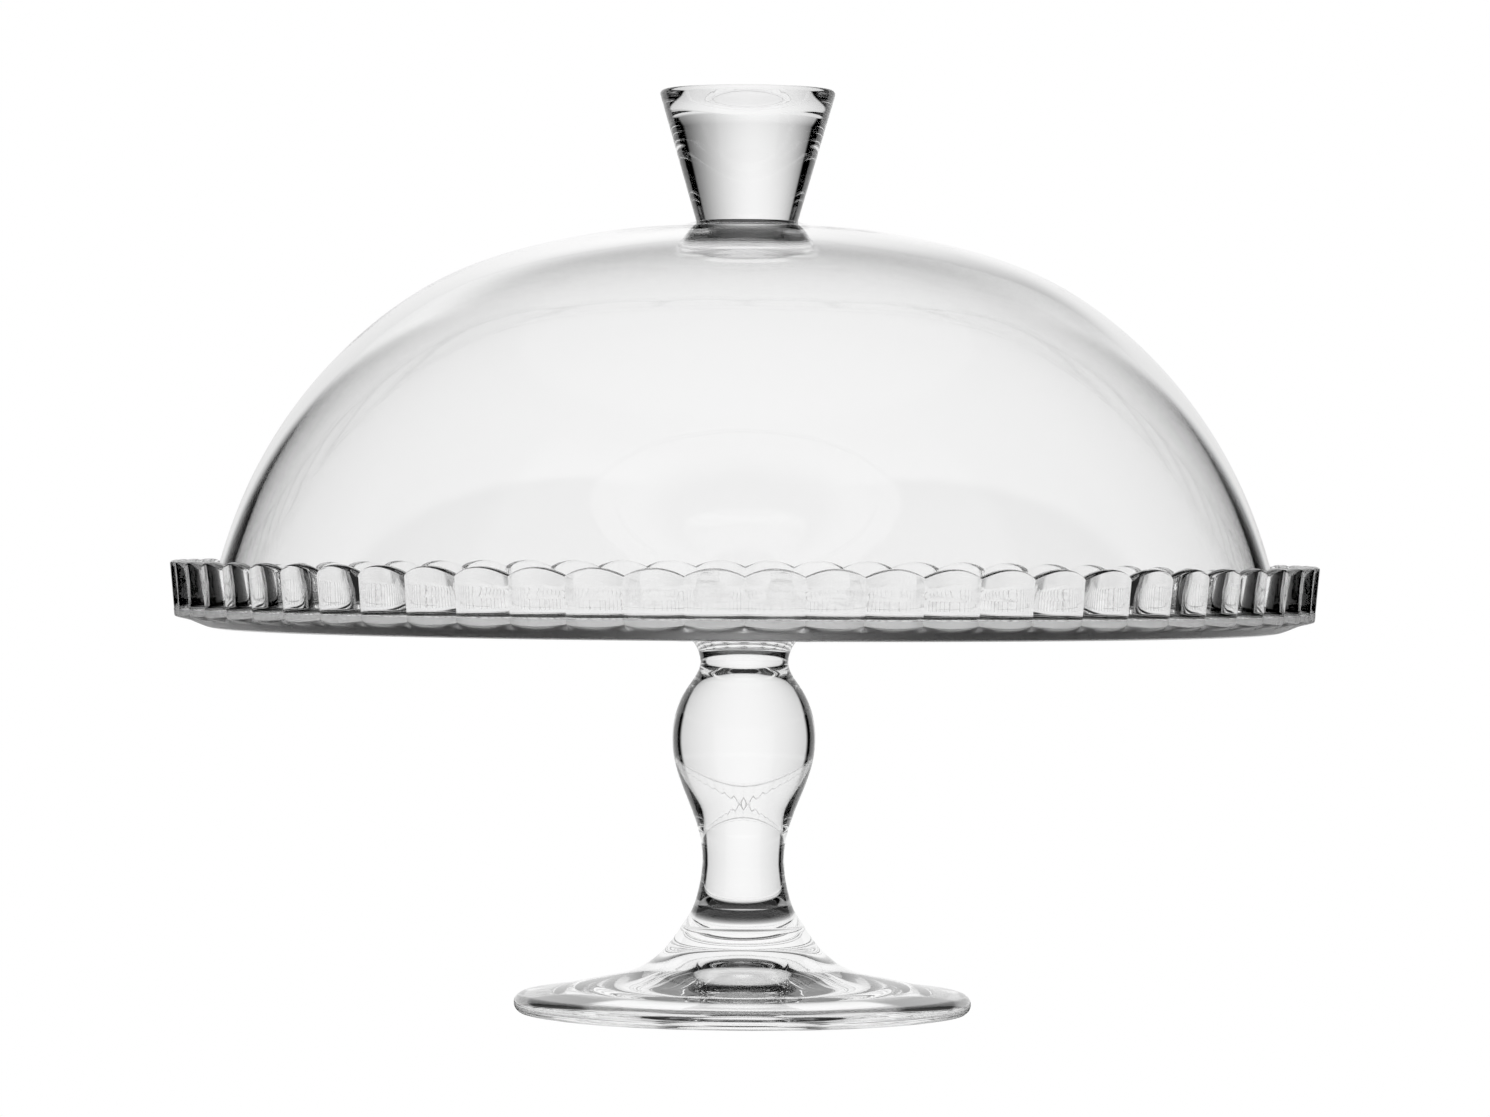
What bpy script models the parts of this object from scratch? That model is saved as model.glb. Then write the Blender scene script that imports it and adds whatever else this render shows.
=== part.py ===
"""A footed glass cake stand with a domed lid, in metres, +Z up, standing on z = 0.

The stand is three glass pieces fused while hot: a flared foot, a turned stem and a plate whose
upright rim is pressed into petals. The lid is two: a dome and the flared knob on its crown.
The dome rests on the plate's floor, inside the rim, and lifts straight up.
"""

import math

import bpy
import numpy as np
from mathutils import Vector

# Gaps between pieces. Fused pieces meet across FUSE_GAP, and the lid rests across REST_GAP.
FUSE_GAP = 0.0003
REST_GAP = 0.0003

# Foot: a flared disc that stands on a flat ring round a hollow, which is steepest near the middle
FOOT_RADIUS = 0.0642
FOOT_HEIGHT = 0.0240
FOOT_EDGE = 0.0054
FOOT_NECK_RADIUS = 0.0174
FOOT_RING_OUTER = 0.0606
FOOT_RING_WIDTH = 0.0080
FOOT_HOLLOW_RISE = 0.0116

# Stem: solid, with a neck under the plate, a bulb and a waist
STEM_HEIGHT = 0.0830
STEM_TOP_RADIUS = 0.0182
STEM_NECK_RADIUS = 0.0124
STEM_BULB_RADIUS = 0.0201
STEM_WAIST_RADIUS = 0.0115

# Plate: a flat floor inside an upright rim of petals, each proud of a shallow cone under the rim
PLATE_RADIUS = 0.1610
PLATE_FLOOR = 0.0059
RIM_HEIGHT = 0.0129
RIM_WALL = 0.0047
RIM_DRAFT = 0.0013
RIM_FILLET = 0.0016
RIM_CREST_WIDTH = 0.0022
RIM_CREST_HEIGHT = 0.0008
RIM_KNEE_HEIGHT = 0.0038
RIM_KNEE_ROUND = 0.0006
RIM_BLEND_WIDTH = 0.0060
RIM_BLEND_HEIGHT = 0.0021
RIM_CONE_WIDTH = 0.0130
PETALS = 64
PETAL_DEPTH = 0.0021
PETAL_CREST_DROP = 0.0021
PETAL_KNEE_LIFT = 0.0007
PETAL_FLATNESS = 1.3

# Lid: a dome that drops inside the rim, and a solid knob dished on top
LID_CLEARANCE = 0.0031
DOME_HEIGHT = 0.1083
DOME_WALL = 0.0040
KNOB_HEIGHT = 0.0367
KNOB_BASE_RADIUS = 0.0143
KNOB_FILLET_WIDTH = 0.0030
KNOB_FILLET_HEIGHT = 0.0008
KNOB_TOP_RADIUS = 0.0246
KNOB_LIP_ROUND = 0.0012
KNOB_DISH_DEPTH = 0.0050

# Facets round each piece
FOOT_FACETS = 48
STEM_FACETS = 40
DOME_FACETS = 56
KNOB_FACETS = 40
PETAL_FACETS = 4
DOME_SPAN_STEPS = 2
SHARP_ANGLE = math.radians(50)

# Heights that the stack gives
STEM_BASE_Z = FOOT_HEIGHT + FUSE_GAP
PLATE_BASE_Z = STEM_BASE_Z + STEM_HEIGHT + FUSE_GAP
FLOOR_Z = PLATE_BASE_Z + PLATE_FLOOR
CREST_Z = FLOOR_Z + RIM_HEIGHT
DOME_BASE_Z = FLOOR_Z + REST_GAP
DOME_TOP_Z = DOME_BASE_Z + DOME_HEIGHT
KNOB_BASE_Z = DOME_TOP_Z + FUSE_GAP
KNOB_TOP_Z = KNOB_BASE_Z + KNOB_HEIGHT

# Radii that the fits give
RIM_INNER_RADIUS = PLATE_RADIUS - RIM_WALL
FLOOR_RADIUS = RIM_INNER_RADIUS - RIM_DRAFT - RIM_FILLET
DOME_RADIUS = FLOOR_RADIUS - LID_CLEARANCE


def curve_through(stations, per_span, start_slope=None, end_slope=None):
    """Points (radius, height) on a smooth cubic through the stations, first to last.

    A slope is a direction that the curve leaves the first station by, or meets the last one by.
    Without one, that end is free.
    """
    stations = np.array(stations, float)
    chords = np.linalg.norm(np.diff(stations, axis=0), axis=1)
    count = len(stations)
    matrix = np.zeros((count, count))
    target = np.zeros((count, 2))
    for i in range(1, count - 1):
        before, after = chords[i - 1], chords[i]
        matrix[i, i - 1 : i + 2] = after, 2 * (before + after), before
        rise_before = (stations[i] - stations[i - 1]) / before
        rise_after = (stations[i + 1] - stations[i]) / after
        target[i] = 3 * (after * rise_before + before * rise_after)
    for row, beside, chord, slope in (
        (0, 1, chords[0], start_slope),
        (count - 1, count - 2, chords[-1], end_slope),
    ):
        matrix[row, row] = 1
        if slope is None:
            matrix[row, beside] = 0.5
            ends = stations[max(row, beside)] - stations[min(row, beside)]
            target[row] = 1.5 * ends / chord
        else:
            target[row] = np.array(slope) / np.linalg.norm(slope)
    tangents = np.linalg.solve(matrix, target)

    points = [stations[0]]
    for i, chord in enumerate(chords):
        for step in range(1, per_span + 1):
            t = step / per_span
            points.append(
                (2 * t**3 - 3 * t**2 + 1) * stations[i]
                + (t**3 - 2 * t**2 + t) * chord * tangents[i]
                + (3 * t**2 - 2 * t**3) * stations[i + 1]
                + (t**3 - t**2) * chord * tangents[i + 1]
            )
    return [tuple(point) for point in points]


def arc(centre, radii, start, end, steps):
    """Points on an ellipse's arc about a centre, with angles in degrees from +radius up to +height."""
    points = []
    for step in range(steps + 1):
        angle = math.radians(start + (end - start) * step / steps)
        points.append((centre[0] + radii[0] * math.cos(angle), centre[1] + radii[1] * math.sin(angle)))
    return points


def glass(name, tint, roughness):
    """Clear pressed glass with a faint tint."""
    material = bpy.data.materials.new(name)
    material.use_nodes = True
    shader = material.node_tree.nodes["Principled BSDF"]
    shader.inputs["Base Color"].default_value = (*tint, 1)
    shader.inputs["Roughness"].default_value = roughness
    shader.inputs["Metallic"].default_value = 0
    shader.inputs["IOR"].default_value = 1.51
    shader.inputs["Transmission Weight"].default_value = 1
    return material


def turned(name, profile, facets, material, collection, parent):
    """A solid of revolution from a profile that starts on the axis at the top and ends on it below."""
    mesh = bpy.data.meshes.new(name)
    points = [(radius, 0, height) for radius, height in profile]
    edges = [(i, i + 1) for i in range(len(points) - 1)]
    mesh.from_pydata(points, edges, [])
    mesh.materials.append(material)
    piece = bpy.data.objects.new(name, mesh)
    collection.objects.link(piece)
    screw = piece.modifiers.new("turning", "SCREW")
    screw.axis = "Z"
    screw.angle = math.tau
    screw.steps = facets
    screw.render_steps = facets
    screw.use_merge_vertices = True
    screw.merge_threshold = 0.00001
    screw.use_smooth_shade = True
    piece.parent = parent
    piece.matrix_parent_inverse = parent.matrix_world.inverted()
    return piece


def foot_profile():
    """The hollow's stations are shares of the ring's inner radius and of the hollow's rise."""
    half_edge = FOOT_EDGE / 2
    flare = curve_through(
        [
            (FOOT_NECK_RADIUS, FOOT_HEIGHT),
            (FOOT_NECK_RADIUS * 1.22, FOOT_HEIGHT * 0.78),
            (FOOT_RADIUS * 0.44, FOOT_HEIGHT * 0.54),
            (FOOT_RADIUS * 0.66, FOOT_HEIGHT * 0.37),
            (FOOT_RADIUS - half_edge, FOOT_EDGE),
        ],
        2,
        end_slope=(1, -0.09),
    )
    edge = arc((FOOT_RADIUS - half_edge, half_edge), (half_edge, half_edge), 60, -30, 3)
    ring_inner = FOOT_RING_OUTER - FOOT_RING_WIDTH
    shares = [
        (1, 0),
        (0.95, 0.11),
        (0.65, 0.22),
        (0.46, 0.34),
        (0.34, 0.53),
        (0.23, 0.79),
        (0.11, 0.95),
        (0, 1),
    ]
    hollow = [(r * ring_inner, h * FOOT_HOLLOW_RISE) for r, h in shares]
    return [(0, FOOT_HEIGHT)] + flare + edge + [(FOOT_RING_OUTER, 0)] + hollow


def stem_profile():
    """Stations are a radius and a share of the stem's height."""
    stations = [
        (STEM_TOP_RADIUS, 1.0),
        (STEM_NECK_RADIUS * 1.10, 0.946),
        (STEM_NECK_RADIUS, 0.888),
        (STEM_BULB_RADIUS * 0.80, 0.805),
        (STEM_BULB_RADIUS * 0.96, 0.715),
        (STEM_BULB_RADIUS, 0.626),
        (STEM_BULB_RADIUS * 0.92, 0.518),
        (STEM_WAIST_RADIUS * 1.31, 0.410),
        (STEM_WAIST_RADIUS * 1.05, 0.298),
        (STEM_WAIST_RADIUS, 0.210),
        (STEM_WAIST_RADIUS * 1.11, 0.112),
        (STEM_WAIST_RADIUS * 1.25, 0.055),
        (FOOT_NECK_RADIUS, 0.0),
    ]
    heights = [(radius, STEM_BASE_Z + share * STEM_HEIGHT) for radius, share in stations]
    side = curve_through(heights, 2, start_slope=(-1, -0.6))
    return [(0, STEM_BASE_Z + STEM_HEIGHT)] + side + [(0, STEM_BASE_Z)]


def plate_section(pressed):
    """Half of the plate's section, through the middle of a petal (0) or a valley between two (1)."""
    outer_radius = PLATE_RADIUS - PETAL_DEPTH * pressed
    crest_width = min(RIM_CREST_WIDTH, (outer_radius - RIM_INNER_RADIUS) * 0.48)
    crest_z = CREST_Z - PETAL_CREST_DROP * pressed - RIM_CREST_HEIGHT
    knee_radius = outer_radius - RIM_DRAFT - RIM_KNEE_ROUND
    knee_z = PLATE_BASE_Z + RIM_KNEE_HEIGHT + PETAL_KNEE_LIFT * pressed

    fillet = arc((FLOOR_RADIUS, FLOOR_Z + RIM_FILLET), (RIM_FILLET, RIM_FILLET), -90, 0, 2)
    crest = arc((RIM_INNER_RADIUS + crest_width, crest_z), (crest_width, RIM_CREST_HEIGHT), 180, 90, 2)
    crest += arc((outer_radius - crest_width, crest_z), (crest_width, RIM_CREST_HEIGHT), 90, 0, 2)
    knee = arc((knee_radius, knee_z), (RIM_KNEE_ROUND, RIM_KNEE_ROUND), 0, -70, 1)
    blend_end = (PLATE_RADIUS - RIM_BLEND_WIDTH, PLATE_BASE_Z + RIM_BLEND_HEIGHT)
    cone_end = (PLATE_RADIUS - RIM_CONE_WIDTH, PLATE_BASE_Z)
    return [(0, FLOOR_Z)] + fillet + crest + knee + [blend_end, cone_end, (0, PLATE_BASE_Z)]


def press_petals(plate):
    """Makes the turned blank a mesh and presses it in towards the valleys' section between petals."""
    blank = plate.evaluated_get(bpy.context.evaluated_depsgraph_get())
    mesh = bpy.data.meshes.new_from_object(blank)
    mesh.name = plate.name
    plate.modifiers.clear()
    plate.data = mesh
    petal, valley = np.array(plate_section(0)), np.array(plate_section(1))
    for vertex in mesh.vertices:
        x, y, z = vertex.co
        radius = math.hypot(x, y)
        ring = np.argmin(np.hypot(petal[:, 0] - radius, petal[:, 1] - z))
        inward, down = petal[ring] - valley[ring]
        pressed = (math.atan2(y, x) * PETALS / math.tau % 1 * 2 - 1) ** 2
        shrink = 1 - inward * pressed**PETAL_FLATNESS / max(radius, PETAL_DEPTH)
        vertex.co = Vector((x * shrink, y * shrink, z - down * pressed))
    mesh.shade_smooth()
    mesh.set_sharp_from_angle(angle=SHARP_ANGLE)


def dome_profile():
    """Below the knob's fillet, stations are shares of the dome's radius and height.

    The inside is the outside below the fillet, offset square to it by the wall.
    """
    shares = [
        (0.2249, 0.9783),
        (0.3400, 0.9520),
        (0.5608, 0.8530),
        (0.7259, 0.6934),
        (0.8490, 0.4995),
        (0.9288, 0.3047),
        (0.9707, 0.1487),
        (1.0, 0.0),
    ]
    seat = (KNOB_BASE_RADIUS, DOME_TOP_Z)
    crown = (KNOB_BASE_RADIUS + KNOB_FILLET_WIDTH, DOME_TOP_Z - KNOB_FILLET_HEIGHT)
    stations = [seat, crown] + [(r * DOME_RADIUS, DOME_BASE_Z + h * DOME_HEIGHT) for r, h in shares]
    outer = np.array(curve_through(stations, DOME_SPAN_STEPS, start_slope=(1, -0.5)))
    run = np.gradient(outer, axis=0)
    run /= np.linalg.norm(run, axis=1)[:, None]
    inner = (outer + DOME_WALL * np.stack([run[:, 1], -run[:, 0]], axis=1))[DOME_SPAN_STEPS:]
    inner[-1, 1] = DOME_BASE_Z
    wall = [tuple(point) for point in (*outer, *inner[::-1])]
    return [(0, DOME_TOP_Z)] + wall + [(0, wall[-1][1])]


def knob_profile():
    """The dish's stations are shares of the lip's radius and of the dish's depth."""
    lip = KNOB_TOP_RADIUS - KNOB_LIP_ROUND
    shares = [(0, 1), (0.28, 0.86), (0.62, 0.44), (1, 0)]
    stations = [(lip * r, KNOB_TOP_Z - KNOB_DISH_DEPTH * h) for r, h in shares]
    dish = curve_through(stations, 2, start_slope=(1, 0), end_slope=(1, 0.25))
    side = [
        (KNOB_TOP_RADIUS, KNOB_TOP_Z - KNOB_LIP_ROUND),
        (KNOB_BASE_RADIUS, KNOB_BASE_Z),
        (0, KNOB_BASE_Z),
    ]
    return dish + side


def build():
    for old in list(bpy.data.objects):
        bpy.data.objects.remove(old)
    collection = bpy.data.collections.new("cake_stand")
    bpy.context.scene.collection.children.link(collection)

    stand = bpy.data.objects.new("stand_body", None)
    lid = bpy.data.objects.new("lid_lift_axis", None)
    lid.location = (0, 0, DOME_BASE_Z)
    for body in (stand, lid):
        collection.objects.link(body)
    bpy.context.view_layer.update()

    stand_glass = glass("stand_glass", (0.97, 0.98, 0.98), 0.02)
    rim_glass = glass("petal_glass", (0.96, 0.975, 0.975), 0.03)
    lid_glass = glass("lid_glass", (0.98, 0.985, 0.985), 0.02)

    turned("foot", foot_profile(), FOOT_FACETS, stand_glass, collection, stand)
    turned("stem", stem_profile(), STEM_FACETS, stand_glass, collection, stand)
    plate = turned("plate", plate_section(0), PETALS * PETAL_FACETS, rim_glass, collection, stand)
    press_petals(plate)
    turned("dome", dome_profile(), DOME_FACETS, lid_glass, collection, lid)
    turned("knob", knob_profile(), KNOB_FACETS, lid_glass, collection, lid)


build()
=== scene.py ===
"""The looks of a footed glass cake stand with a domed lid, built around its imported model.

Everything is in metres, +Z up, standing on z = 0, with the front towards -Y. Each glass piece is
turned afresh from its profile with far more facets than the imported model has, and takes its place
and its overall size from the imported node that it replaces.
"""

import math

import bpy
import numpy as np
from mathutils import Matrix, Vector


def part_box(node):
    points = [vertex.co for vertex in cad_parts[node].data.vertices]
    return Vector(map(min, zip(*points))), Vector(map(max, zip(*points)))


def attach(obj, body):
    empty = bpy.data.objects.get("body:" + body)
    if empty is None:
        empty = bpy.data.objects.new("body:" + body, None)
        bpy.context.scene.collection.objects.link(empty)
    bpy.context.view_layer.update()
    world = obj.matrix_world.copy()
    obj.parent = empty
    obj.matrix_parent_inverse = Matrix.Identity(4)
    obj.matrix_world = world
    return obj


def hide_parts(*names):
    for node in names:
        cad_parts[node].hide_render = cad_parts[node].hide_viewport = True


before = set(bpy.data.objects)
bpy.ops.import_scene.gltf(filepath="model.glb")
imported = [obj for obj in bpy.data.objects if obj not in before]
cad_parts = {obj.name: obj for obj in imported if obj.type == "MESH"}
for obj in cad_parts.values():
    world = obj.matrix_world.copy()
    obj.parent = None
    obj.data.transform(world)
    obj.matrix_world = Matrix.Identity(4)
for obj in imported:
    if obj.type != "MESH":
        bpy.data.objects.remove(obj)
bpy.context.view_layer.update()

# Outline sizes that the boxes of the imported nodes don't hold
FOOT_EDGE = 0.0054
FOOT_NECK_RADIUS = 0.0174
FOOT_RING_OUTER = 0.0606
FOOT_RING_WIDTH = 0.0080
FOOT_HOLLOW_RISE = 0.0116
STEM_TOP_RADIUS = 0.0182
STEM_NECK_RADIUS = 0.0124
STEM_WAIST_RADIUS = 0.0115
PLATE_FLOOR = 0.0059
RIM_WALL = 0.0047
RIM_DRAFT = 0.0013
RIM_FILLET = 0.0016
RIM_CREST_WIDTH = 0.0022
RIM_CREST_HEIGHT = 0.0008
RIM_CREST_SHARE = 0.48
RIM_KNEE_HEIGHT = 0.0038
RIM_KNEE_ROUND = 0.0006
RIM_BLEND_WIDTH = 0.0060
RIM_BLEND_HEIGHT = 0.0021
RIM_CONE_WIDTH = 0.0130
PETALS = 64
PETAL_DEPTH = 0.0021
PETAL_CREST_DROP = 0.0021
PETAL_KNEE_LIFT = 0.0007
PETAL_FLATNESS = 1.3
DOME_WALL = 0.0040
DOME_EDGE_ROUND = DOME_WALL * 0.35
KNOB_BASE_RADIUS = 0.0143
KNOB_FILLET_WIDTH = 0.0030
KNOB_FILLET_HEIGHT = 0.0008
KNOB_LIP_ROUND = 0.0012
KNOB_DISH_DEPTH = 0.0050

# How finely the pieces are turned
FACETS = 384
PETAL_FACETS = 20
SPAN_STEPS = 12
STEM_SPAN_STEPS = 20
ARC_STEPS = 10
RIM_ARC_STEPS = 8
WALL_STEPS = 3
KNEE_STEPS = 6
SHARP_ANGLE = math.radians(40)

# The places of the turned pieces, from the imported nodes
foot_low, foot_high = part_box("foot")
stem_low, stem_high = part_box("stem")
plate_low, plate_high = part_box("plate")
dome_low, dome_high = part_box("dome")
knob_low, knob_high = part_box("knob")
FOOT_RADIUS = foot_high.x
BULB_RADIUS = stem_high.x
PLATE_RADIUS = plate_high.x / math.cos(math.pi / PETALS)
DOME_RADIUS = dome_high.x
KNOB_TOP_RADIUS = knob_high.x
FOOT_STEM_Z = (foot_high.z + stem_low.z) / 2
STEM_PLATE_Z = (stem_high.z + plate_low.z) / 2
DOME_KNOB_Z = (dome_high.z + knob_low.z) / 2
FLOOR_Z = plate_low.z + PLATE_FLOOR


# Profiles


def curve_through(stations, start_slope=None, end_slope=None, per_span=SPAN_STEPS):
    """Points (radius, height) on a smooth cubic through the stations, first to last.

    A slope is a direction that the curve leaves the first station by, or meets the last one by.
    Without one, that end is free.
    """
    stations = np.array(stations, float)
    chords = np.linalg.norm(np.diff(stations, axis=0), axis=1)
    count = len(stations)
    matrix = np.zeros((count, count))
    target = np.zeros((count, 2))
    for i in range(1, count - 1):
        before, after = chords[i - 1], chords[i]
        matrix[i, i - 1 : i + 2] = after, 2 * (before + after), before
        rise_before = (stations[i] - stations[i - 1]) / before
        rise_after = (stations[i + 1] - stations[i]) / after
        target[i] = 3 * (after * rise_before + before * rise_after)
    for row, beside, chord, slope in (
        (0, 1, chords[0], start_slope),
        (count - 1, count - 2, chords[-1], end_slope),
    ):
        matrix[row, row] = 1
        if slope is None:
            matrix[row, beside] = 0.5
            ends = stations[max(row, beside)] - stations[min(row, beside)]
            target[row] = 1.5 * ends / chord
        else:
            target[row] = np.array(slope) / np.linalg.norm(slope)
    tangents = np.linalg.solve(matrix, target)

    points = [stations[0]]
    for i, chord in enumerate(chords):
        for step in range(1, per_span + 1):
            t = step / per_span
            points.append(
                (2 * t**3 - 3 * t**2 + 1) * stations[i]
                + (t**3 - 2 * t**2 + t) * chord * tangents[i]
                + (3 * t**2 - 2 * t**3) * stations[i + 1]
                + (t**3 - t**2) * chord * tangents[i + 1]
            )
    return [tuple(point) for point in points]


def arc(centre, radii, start, end, steps=ARC_STEPS):
    """Points on an ellipse's arc about a centre, with angles in degrees from +radius up to +height."""
    points = []
    for step in range(steps + 1):
        angle = math.radians(start + (end - start) * step / steps)
        points.append((centre[0] + radii[0] * math.cos(angle), centre[1] + radii[1] * math.sin(angle)))
    return points


def between(start, end, steps):
    """Points on the straight line from start to end."""
    start, end = np.array(start), np.array(end)
    return [tuple(start + (end - start) * step / steps) for step in range(steps + 1)]


def foot_profile():
    half_edge = FOOT_EDGE / 2
    height = foot_high.z
    flare = curve_through(
        [
            (FOOT_NECK_RADIUS, height),
            (FOOT_NECK_RADIUS * 1.22, height * 0.78),
            (FOOT_RADIUS * 0.44, height * 0.54),
            (FOOT_RADIUS * 0.66, height * 0.37),
            (FOOT_RADIUS - half_edge, FOOT_EDGE),
        ],
        end_slope=(1, -0.09),
    )
    flare[0] = (FOOT_NECK_RADIUS, FOOT_STEM_Z)
    edge = arc((FOOT_RADIUS - half_edge, half_edge), (half_edge, half_edge), 75, -60)
    ring_inner = FOOT_RING_OUTER - FOOT_RING_WIDTH
    shares = [
        (1, 0),
        (0.95, 0.11),
        (0.65, 0.22),
        (0.46, 0.34),
        (0.34, 0.53),
        (0.23, 0.79),
        (0.11, 0.95),
        (0, 1),
    ]
    hollow = curve_through([(r * ring_inner, h * FOOT_HOLLOW_RISE) for r, h in shares], end_slope=(-1, 0))
    return [(0, FOOT_STEM_Z)] + flare + edge + [(FOOT_RING_OUTER, 0)] + hollow


def stem_profile():
    """Stations are a radius and a share of the stem's height."""
    shares = [
        (STEM_TOP_RADIUS, 1.0),
        (STEM_NECK_RADIUS * 1.10, 0.946),
        (STEM_NECK_RADIUS, 0.888),
        (BULB_RADIUS * 0.80, 0.805),
        (BULB_RADIUS * 0.96, 0.715),
        (BULB_RADIUS, 0.626),
        (BULB_RADIUS * 0.92, 0.518),
        (STEM_WAIST_RADIUS * 1.31, 0.410),
        (STEM_WAIST_RADIUS * 1.05, 0.298),
        (STEM_WAIST_RADIUS, 0.210),
        (STEM_WAIST_RADIUS * 1.11, 0.112),
        (STEM_WAIST_RADIUS * 1.25, 0.055),
        (FOOT_NECK_RADIUS, 0.0),
    ]
    height = stem_high.z - stem_low.z
    stations = [(radius, stem_low.z + share * height) for radius, share in shares]
    side = curve_through(stations, start_slope=(-1, -0.6), per_span=STEM_SPAN_STEPS)
    side[0] = (STEM_TOP_RADIUS, STEM_PLATE_Z)
    side[-1] = (FOOT_NECK_RADIUS, FOOT_STEM_Z)
    return [(0, STEM_PLATE_Z)] + side + [(0, FOOT_STEM_Z)]


def plate_section(pressed):
    """Half of the plate's section, through the middle of a petal (0) or a valley between two (1)."""
    outer_radius = PLATE_RADIUS - PETAL_DEPTH * pressed
    inner_radius = PLATE_RADIUS - RIM_WALL
    crest_width = min(RIM_CREST_WIDTH, (outer_radius - inner_radius) * RIM_CREST_SHARE)
    crest_z = plate_high.z - PETAL_CREST_DROP * pressed - RIM_CREST_HEIGHT
    knee_radius = outer_radius - RIM_DRAFT
    knee_z = plate_low.z + RIM_KNEE_HEIGHT + PETAL_KNEE_LIFT * pressed
    floor_radius = inner_radius - RIM_DRAFT - RIM_FILLET
    blend_end = (PLATE_RADIUS - RIM_BLEND_WIDTH, plate_low.z + RIM_BLEND_HEIGHT)
    cone_end = (PLATE_RADIUS - RIM_CONE_WIDTH, STEM_PLATE_Z)

    floor = [(share * floor_radius, FLOOR_Z) for share in (0, 0.5, 0.9)]
    fillet = arc((floor_radius, FLOOR_Z + RIM_FILLET), (RIM_FILLET, RIM_FILLET), -90, -8)
    crest_radii = (crest_width, RIM_CREST_HEIGHT)
    crest = arc((inner_radius + crest_width, crest_z), crest_radii, 180, 90, RIM_ARC_STEPS)
    crest += arc((outer_radius - crest_width, crest_z), crest_radii, 90, 0, RIM_ARC_STEPS)
    wall = between((outer_radius, crest_z), (knee_radius, knee_z), WALL_STEPS)[1:-1]
    knee_radii = (RIM_KNEE_ROUND, RIM_KNEE_ROUND)
    knee = arc((knee_radius - RIM_KNEE_ROUND, knee_z), knee_radii, 0, -70, KNEE_STEPS)
    knee_slope, blend_slope, cone_slope = (-0.94, -0.34), (-1, -0.38), (-1, -0.08)
    blend = curve_through([knee[-1], blend_end], knee_slope, blend_slope, RIM_ARC_STEPS)[1:]
    cone = curve_through([blend_end, cone_end], blend_slope, cone_slope, RIM_ARC_STEPS)[1:]
    under = [(share * cone_end[0], STEM_PLATE_Z) for share in (0.98, 0.5)]
    seat = [(STEM_TOP_RADIUS, STEM_PLATE_Z), (0, STEM_PLATE_Z)]
    return floor + fillet + crest + wall + knee + blend + cone + under + seat


def dome_profile():
    """Below the knob's fillet, stations are shares of the dome's radius and height."""
    shares = [
        (0.2249, 0.9783),
        (0.3400, 0.9520),
        (0.5608, 0.8530),
        (0.7259, 0.6934),
        (0.8490, 0.4995),
        (0.9288, 0.3047),
        (0.9707, 0.1487),
        (1.0, 0.0),
    ]
    base, height = dome_low.z, dome_high.z - dome_low.z
    seat = (KNOB_BASE_RADIUS, DOME_KNOB_Z)
    crown = (KNOB_BASE_RADIUS + KNOB_FILLET_WIDTH, DOME_KNOB_Z - KNOB_FILLET_HEIGHT)
    stations = [seat, crown] + [(r * DOME_RADIUS, base + h * height) for r, h in shares]
    outer = np.array(curve_through(stations, start_slope=(1, -0.5)))
    run = np.gradient(outer, axis=0)
    run /= np.linalg.norm(run, axis=1)[:, None]
    inner = (outer + DOME_WALL * np.stack([run[:, 1], -run[:, 0]], axis=1))[SPAN_STEPS:]
    inner[-1, 1] = base
    edge_z = base + DOME_EDGE_ROUND
    outer = [tuple(point) for point in outer if point[1] > edge_z]
    inner = [tuple(point) for point in inner[::-1] if point[1] > edge_z]
    edge_radii = (DOME_EDGE_ROUND, DOME_EDGE_ROUND)
    edge = arc((outer[-1][0] - DOME_EDGE_ROUND, edge_z), edge_radii, 0, -90)
    edge += arc((inner[0][0] + DOME_EDGE_ROUND, edge_z), edge_radii, -90, -180)
    crown_inside = [(share * inner[-1][0], inner[-1][1]) for share in (0.75, 0.5, 0.25, 0)]
    return [(0, DOME_KNOB_Z)] + outer + edge + inner + crown_inside


def knob_profile():
    top = knob_high.z
    lip = KNOB_TOP_RADIUS - KNOB_LIP_ROUND
    shares = [(0, 1), (0.28, 0.86), (0.62, 0.44), (1, 0)]
    dish = curve_through([(lip * r, top - KNOB_DISH_DEPTH * h) for r, h in shares], (1, 0), (1, 0.25))
    lip_round = arc((lip, top - KNOB_LIP_ROUND), (KNOB_LIP_ROUND, KNOB_LIP_ROUND), 90, -10)
    side = between(lip_round[-1], (KNOB_BASE_RADIUS, DOME_KNOB_Z), SPAN_STEPS)[1:]
    return dish + lip_round[1:] + side + [(0, DOME_KNOB_Z)]


# Meshes


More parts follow.
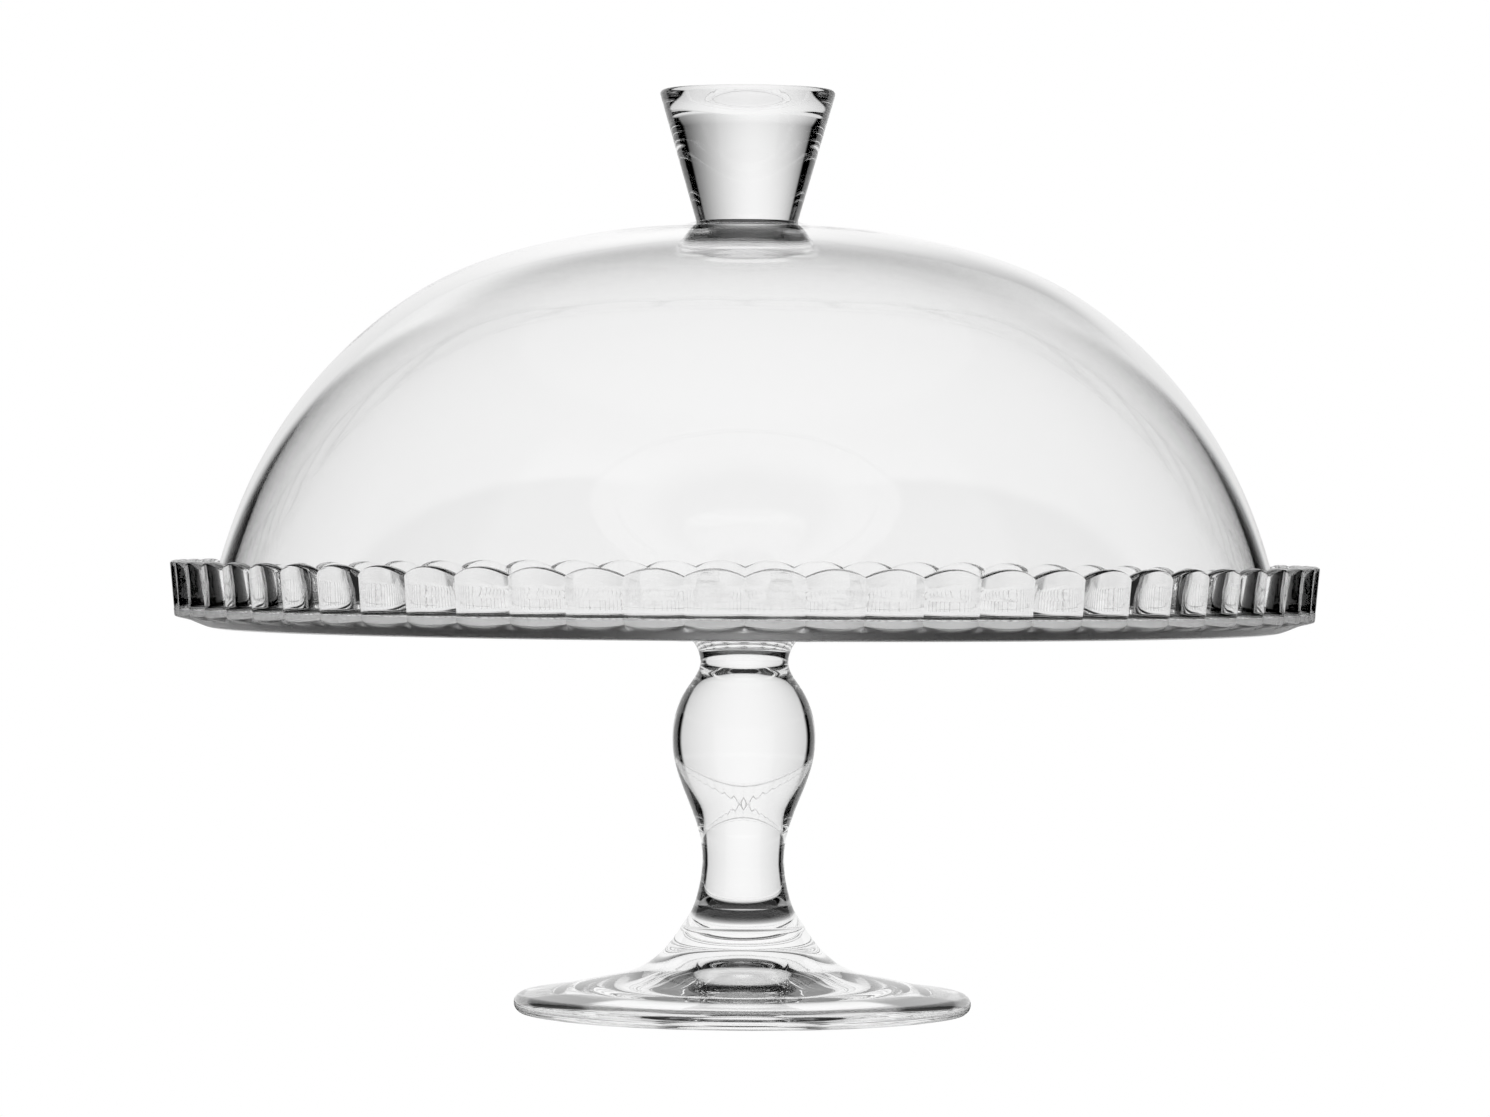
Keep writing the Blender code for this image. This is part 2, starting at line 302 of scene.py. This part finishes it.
def turned(name, profile, facets, materials, fused_top=0, fused_base=0, valley=None):
    """A solid of revolution from a profile that starts on the axis at the top and ends on it below.

    The first fused_top bands and the last fused_base bands take the second material. With a valley
    profile, the piece is pressed between the two: the profile runs through each petal's middle.
    """
    rings = np.array(profile[1:-1])
    angles = np.arange(facets) * math.tau / facets
    pressed = (np.mod(angles * PETALS / math.tau, 1) * 2 - 1) ** 2 if valley else np.zeros(facets)
    depths = np.array(valley[1:-1]) - rings if valley else np.zeros_like(rings)
    radius = rings[:, :1] + depths[:, :1] * pressed**PETAL_FLATNESS
    height = rings[:, 1:] + depths[:, 1:] * pressed
    points = np.stack([radius * np.cos(angles), radius * np.sin(angles), height], axis=2).reshape(-1, 3)
    top, base = len(points), len(points) + 1
    points = np.vstack([points, (0, 0, profile[0][1]), (0, 0, profile[-1][1])])
    faces = []
    bands = []
    for ring in range(len(rings) - 1):
        for i in range(facets):
            j = (i + 1) % facets
            upper, lower = ring * facets, (ring + 1) * facets
            faces.append((upper + i, lower + i, lower + j, upper + j))
            bands.append(ring + 1)
    last = (len(rings) - 1) * facets
    for i in range(facets):
        j = (i + 1) % facets
        faces.append((top, i, j))
        bands.append(0)
        faces.append((last + j, last + i, base))
        bands.append(len(rings))
    mesh = bpy.data.meshes.new(name)
    mesh.from_pydata(points, [], faces)
    for material in materials:
        mesh.materials.append(material)
    fused = [int(band < fused_top or band > len(rings) - fused_base) for band in bands]
    mesh.polygons.foreach_set("material_index", fused)
    mesh.shade_smooth()
    mesh.set_sharp_from_angle(angle=SHARP_ANGLE)
    mesh.validate()
    piece = bpy.data.objects.new(name, mesh)
    bpy.context.scene.collection.objects.link(piece)
    return piece


# Materials

GLASS_IOR = 1.51
STAND_WAVINESS = 0.00003
PETAL_WAVINESS = 0.00002
LID_WAVINESS = 0.00003
STAND_WAVE_SCALE = 60
LID_WAVE_SCALE = 40
RIPPLE_SCALE = 6
RIPPLE_SHARE = 0.05
POLISH = 0.02
POLISH_SCALE = 30.0
POLISH_FROM = 0.45
POLISH_TO = 0.8
DULL_FADE = 0.0002
DULL_ROUGHNESS = 0.4
RIM_DULL_FROM = plate_low.z + 0.0004
RIM_DULL_TO = FLOOR_Z - 0.0006
CLEAR = (0.995, 0.995, 0.995)


class Field:
    """A shader value that takes Python's operators, each of which adds a Math node."""

    def __init__(self, maker, socket):
        self.maker = maker
        self.socket = socket

    def _math(self, operation, *values):
        return self.maker.node("ShaderNodeMath", {"operation": operation}, dict(enumerate(values)))

    def __add__(self, other):
        return self._math("ADD", self, other)

    def __sub__(self, other):
        return self._math("SUBTRACT", self, other)

    def __rsub__(self, other):
        return self._math("SUBTRACT", other, self)

    def __mul__(self, other):
        return self._math("MULTIPLY", self, other)

    def __truediv__(self, other):
        return self._math("DIVIDE", self, other)

    def __lt__(self, other):
        return self._math("LESS_THAN", self, other)

    def __gt__(self, other):
        return self._math("GREATER_THAN", self, other)

    def absolute(self):
        return self._math("ABSOLUTE", self)

    def maximum(self, other):
        return self._math("MAXIMUM", self, other)

    def ramp(self, start, end):
        """0 up to start, 1 from end on, and smooth between."""
        values = {"Value": self, "From Min": start, "From Max": end}
        settings = {"interpolation_type": "SMOOTHSTEP"}
        return self.maker.node("ShaderNodeMapRange", settings, values, "Result")

    __radd__ = __add__
    __rmul__ = __mul__


class Maker:
    """Adds nodes to one material's or world's tree."""

    def __init__(self, owner):
        owner.use_nodes = True
        self.tree = owner.node_tree
        self.tree.nodes.clear()

    def node(self, kind, settings=None, values=None, output=0):
        node = self.tree.nodes.new(kind)
        for name, value in (settings or {}).items():
            setattr(node, name, value)
        for name, value in (values or {}).items():
            if isinstance(value, Field):
                self.tree.links.new(value.socket, node.inputs[name])
            else:
                node.inputs[name].default_value = value
        return Field(self, node.outputs[output]) if node.outputs else None


def glass(name, waviness, wave_scale, dull_band=None):
    """Clear pressed glass: slow waves from the mould, fine chill ripples, and a polish that varies.

    A dull band is two heights between which the mould leaves the glass duller.
    """
    material = bpy.data.materials.new(name)
    make = Maker(material)
    place = make.node("ShaderNodeTexCoord", output="Object")
    slow_values = {"Vector": place, "Scale": wave_scale, "Detail": 1.5, "Roughness": 0.4}
    slow = make.node("ShaderNodeTexNoise", {}, slow_values)
    fine_values = {"Vector": place, "Scale": wave_scale * RIPPLE_SCALE, "Detail": 1.0, "Roughness": 0.4}
    fine = make.node("ShaderNodeTexNoise", {}, fine_values)
    relief = slow + fine * RIPPLE_SHARE
    normal = make.node("ShaderNodeBump", {}, {"Height": relief, "Strength": 1.0, "Distance": waviness})
    wear = make.node("ShaderNodeTexNoise", {}, {"Vector": place, "Scale": POLISH_SCALE, "Detail": 3.0})
    roughness = wear.ramp(POLISH_FROM, POLISH_TO) * POLISH
    if dull_band:
        dull_from, dull_to = dull_band
        z = make.node("ShaderNodeSeparateXYZ", {}, {"Vector": place}, "Z")
        band = z.ramp(dull_from - DULL_FADE, dull_from) * (1 - z.ramp(dull_to, dull_to + DULL_FADE))
        roughness = roughness.maximum(band * DULL_ROUGHNESS)
    shader = make.node(
        "ShaderNodeBsdfPrincipled",
        {},
        {
            "Base Color": (*CLEAR, 1),
            "Roughness": roughness,
            "IOR": GLASS_IOR,
            "Transmission Weight": 1.0,
            "Normal": normal,
        },
    )
    make.node("ShaderNodeOutputMaterial", {}, {"Surface": shader})
    return material


def fused_joint():
    """The face where two pieces are fused hot, which leaves nothing to see."""
    material = bpy.data.materials.new("fused_joint")
    make = Maker(material)
    clear = make.node("ShaderNodeBsdfTransparent")
    make.node("ShaderNodeOutputMaterial", {}, {"Surface": clear})
    return material


# The studio

TENT_RADIUS = 0.30
TENT_HEIGHT = 0.60
TENT_SIDES = 96
FIELD_EDGE = math.radians(48)
FIELD_FADE = math.radians(3)
SIDE_LIGHT = math.radians(12)
SIDE_FADE = math.radians(5)
FIELD_FALL = 0.22
KNOB_SHADE = 0.45
TOP_START = 0.34
TOP_END = 0.46
TOP_LEVEL = 0.10
RIM_BAND_LOW = 0.100
RIM_BAND_HIGH = 0.145
FRONT_LEVEL = 0.5
SIDE_LIGHT_TOP = 0.10
SIDE_LIGHT_END = 0.11
KNOB_SHADE_FROM = -0.1
KNOB_SHADE_TO = 0.7
KNOB_SHADE_LOW = 0.26
KNOB_SHADE_HIGH = 0.34
FLOOR_GAP_FROM = 0.04
FLOOR_GAP_FADE = 0.02
FLOOR_REACH = 40.0
# Painted shadow: the table's glow is dimmed under the foot by distance from the stem's axis; no shadow is
# cast.
PAINTED_FOOT_SHADOW_FROM = FOOT_RADIUS * 0.35
PAINTED_FOOT_SHADOW_TO = FOOT_RADIUS * 0.8
PAINTED_FOOT_SHADOW_LEVEL = 0.03

# Glass faces that a ray has crossed, counted halfway between whole numbers
CROSSED_NONE = 0.5
CROSSED_ONE_PIECE = 2.5
CROSSED_RIM = 4.5
CROSSED_MANY = 6.5

CAMERA_DISTANCE = 1.70
CAMERA_HEIGHT = 0.1415
CAMERA_PITCH = math.radians(-0.469)
CAMERA_ROLL = math.radians(0.35)
CAMERA_LENS = 146.2
CAMERA_SENSOR = 36
CAMERA_CLIP = 0.05
LIGHT_BOUNCES = 32
GLOSSY_BOUNCES = 16


def crossed(make):
    """How many glass faces a ray has crossed."""
    return make.node("ShaderNodeLightPath", output="Transmission Depth")


def crossings(make):
    """1 for a ray that has crossed at most one piece, and 1 for one that has crossed more.

    Both are 0 for a ray that glass has mirrored.
    """
    faces = crossed(make)
    unturned = make.node("ShaderNodeLightPath", output="Glossy Depth") < 0.5
    return (faces < CROSSED_ONE_PIECE) * unturned, (faces > CROSSED_ONE_PIECE) * unturned


def sideways(make, place, side_light):
    """Brightness round the object, with +Y behind it: a white field at the back, and dark to the sides.

    side_light is how bright a narrow strip is at each side, straight left and right.
    """
    x = make.node("ShaderNodeSeparateXYZ", {}, {"Vector": place}, "X")
    y = make.node("ShaderNodeSeparateXYZ", {}, {"Vector": place}, "Y")
    direct = crossings(make)[0]
    turn = make.node("ShaderNodeMath", {"operation": "ARCTAN2"}, {0: x.absolute(), 1: y})
    back = 1 - turn.ramp(FIELD_EDGE - FIELD_FADE, FIELD_EDGE + FIELD_FADE)
    back = back * (1 - turn.ramp(0, FIELD_EDGE) * FIELD_FALL)
    front = (math.pi - turn).ramp(FIELD_EDGE + FIELD_FADE, FIELD_EDGE - FIELD_FADE)
    off_side = (turn - math.pi / 2).absolute()
    side = (1 - off_side.ramp(SIDE_LIGHT, SIDE_LIGHT + SIDE_FADE)) * side_light * direct
    outside = crossed(make) < CROSSED_NONE
    return back, side, front * direct.maximum(outside * FRONT_LEVEL)


def glow(make, strength):
    return make.node("ShaderNodeEmission", {}, {"Color": (1, 1, 1, 1), "Strength": strength})


def studio_world():
    """Plain white where the camera sees it, and dimmer overhead for what the glass reflects."""
    world = bpy.data.worlds.new("studio")
    make = Maker(world)
    seen = make.node("ShaderNodeLightPath", output="Is Camera Ray")
    light = seen * (1 - TOP_LEVEL) + TOP_LEVEL
    background = make.node("ShaderNodeBackground", {}, {"Color": (1, 1, 1, 1), "Strength": light})
    make.node("ShaderNodeOutputWorld", {}, {"Surface": background})
    world.cycles.sampling_method = "NONE"
    bpy.context.scene.world = world


def studio_tent():
    """A light tent close round the object, with dark gaps in it, which the camera sees only through glass."""
    mesh = bpy.data.meshes.new("light_tent")
    turns = np.arange(TENT_SIDES) * math.tau / TENT_SIDES
    rim = [(TENT_RADIUS * math.cos(turn), TENT_RADIUS * math.sin(turn)) for turn in turns]
    points = [(x, y, z) for z in (0, TENT_HEIGHT) for x, y in rim]
    faces = []
    for i in range(TENT_SIDES):
        j = (i + 1) % TENT_SIDES
        faces.append((i, j, TENT_SIDES + j, TENT_SIDES + i))
    mesh.from_pydata(points, [], faces)
    tent = bpy.data.objects.new("light_tent", mesh)
    bpy.context.scene.collection.objects.link(tent)
    tent.visible_camera = False
    material = bpy.data.materials.new("light_tent")
    material.cycles.emission_sampling = "NONE"
    make = Maker(material)
    place = make.node("ShaderNodeTexCoord", output="Object")
    x = make.node("ShaderNodeSeparateXYZ", {}, {"Vector": place}, "X")
    z = make.node("ShaderNodeSeparateXYZ", {}, {"Vector": place}, "Z")
    top = 1 - z.ramp(TOP_START, TOP_END) * (1 - TOP_LEVEL)
    to_right = (x / TENT_RADIUS).ramp(KNOB_SHADE_FROM, KNOB_SHADE_TO)
    shade = 1 - to_right * z.ramp(KNOB_SHADE_LOW, KNOB_SHADE_HIGH) * KNOB_SHADE
    back, side, front = sideways(make, place, 1 - z.ramp(SIDE_LIGHT_TOP, SIDE_LIGHT_END))
    faces_crossed = crossed(make)
    beside_rim = (z > RIM_BAND_LOW) * (z < RIM_BAND_HIGH)
    thin = crossings(make)[1].maximum((faces_crossed > CROSSED_RIM) * beside_rim)
    thin = thin.maximum(faces_crossed > CROSSED_MANY)
    strength = (thin + (1 - thin) * (back + side + front) * shade) * top
    make.node("ShaderNodeOutputMaterial", {}, {"Surface": glow(make, strength)})
    mesh.materials.append(material)


def studio_floor():
    """A plain pale table top glowing white right out, with a painted shadow under the foot."""
    mesh = bpy.data.meshes.new("floor")
    size = FLOOR_REACH
    corners = [(-size, -size, 0), (size, -size, 0), (size, size, 0), (-size, size, 0)]
    mesh.from_pydata(corners, [], [(0, 1, 2, 3)])
    floor = bpy.data.objects.new("floor", mesh)
    bpy.context.scene.collection.objects.link(floor)
    material = bpy.data.materials.new("pale_table")
    material.cycles.emission_sampling = "NONE"
    make = Maker(material)
    place = make.node("ShaderNodeTexCoord", output="Object")
    reach = make.node("ShaderNodeVectorMath", {"operation": "LENGTH"}, {0: place}, "Value")
    seen = make.node("ShaderNodeLightPath", output="Is Camera Ray")
    through_few = (1 - crossings(make)[1]) * (crossed(make) < CROSSED_MANY)
    past_stem = reach.ramp(FLOOR_GAP_FROM - FLOOR_GAP_FADE, FLOOR_GAP_FROM + FLOOR_GAP_FADE)
    back, side, front = sideways(make, place, 1)
    # Painted shade: for rays that come from the glass, past the stem, the glowing table is dimmer to the
    # sides; the camera sees it evenly white.
    light = 1 - through_few * (1 - seen) * past_stem * (1 - back - side - front)
    # Painted shadow under the foot, dimmest near the stem's axis and full white from the outer radius on.
    beyond_painted_foot_shadow = reach.ramp(PAINTED_FOOT_SHADOW_FROM, PAINTED_FOOT_SHADOW_TO)
    strength = light * (PAINTED_FOOT_SHADOW_LEVEL + beyond_painted_foot_shadow * (1 - PAINTED_FOOT_SHADOW_LEVEL))
    make.node("ShaderNodeOutputMaterial", {}, {"Surface": glow(make, strength)})
    mesh.materials.append(material)


def studio_camera():
    """Level with the rim of the plate, far enough back for a long lens."""
    camera = bpy.data.cameras.new("camera")
    camera.lens = CAMERA_LENS
    camera.sensor_width = CAMERA_SENSOR
    camera.clip_start = CAMERA_CLIP
    shot = bpy.data.objects.new("camera", camera)
    bpy.context.scene.collection.objects.link(shot)
    shot.location = (0, -CAMERA_DISTANCE, CAMERA_HEIGHT)
    aim = Matrix.Rotation(math.pi / 2 + CAMERA_PITCH, 3, "X") @ Matrix.Rotation(CAMERA_ROLL, 3, "Z")
    shot.rotation_euler = aim.to_euler()
    bpy.context.scene.camera = shot


def build():
    rim_foot = (RIM_DULL_FROM, RIM_DULL_TO)
    stand_glass = glass("stand_glass_clear", STAND_WAVINESS, STAND_WAVE_SCALE)
    petal_glass = glass("petal_glass_clear", PETAL_WAVINESS, STAND_WAVE_SCALE, rim_foot)
    lid_glass = glass("lid_glass_clear", LID_WAVINESS, LID_WAVE_SCALE)
    joint = fused_joint()

    foot = turned("foot_turned", foot_profile(), FACETS, (stand_glass, joint), fused_top=1)
    stem = turned("stem_turned", stem_profile(), FACETS, (stand_glass, joint), fused_top=1, fused_base=1)
    petal, valley = plate_section(0), plate_section(1)
    rim_facets = PETALS * PETAL_FACETS
    plate = turned("plate_pressed", petal, rim_facets, (petal_glass, joint), fused_base=1, valley=valley)
    dome = turned("dome_turned", dome_profile(), FACETS, (lid_glass, joint), fused_top=1)
    knob = turned("knob_turned", knob_profile(), FACETS, (lid_glass, joint), fused_base=1)
    for piece, node, body, slot in (
        (foot, "foot", "stand", "stand_glass"),
        (stem, "stem", "stand", "stand_glass"),
        (plate, "plate", "stand", "petal_glass"),
        (dome, "dome", "lid", "lid_glass"),
        (knob, "knob", "lid", "lid_glass"),
    ):
        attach(piece, body)
        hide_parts(node)


build()
studio_world()
studio_tent()
studio_floor()
studio_camera()
scene = bpy.context.scene
scene.view_settings.view_transform = "Standard"
scene.cycles.max_bounces = LIGHT_BOUNCES
scene.cycles.transmission_bounces = LIGHT_BOUNCES
scene.cycles.glossy_bounces = GLOSSY_BOUNCES
scene.cycles.transparent_max_bounces = LIGHT_BOUNCES
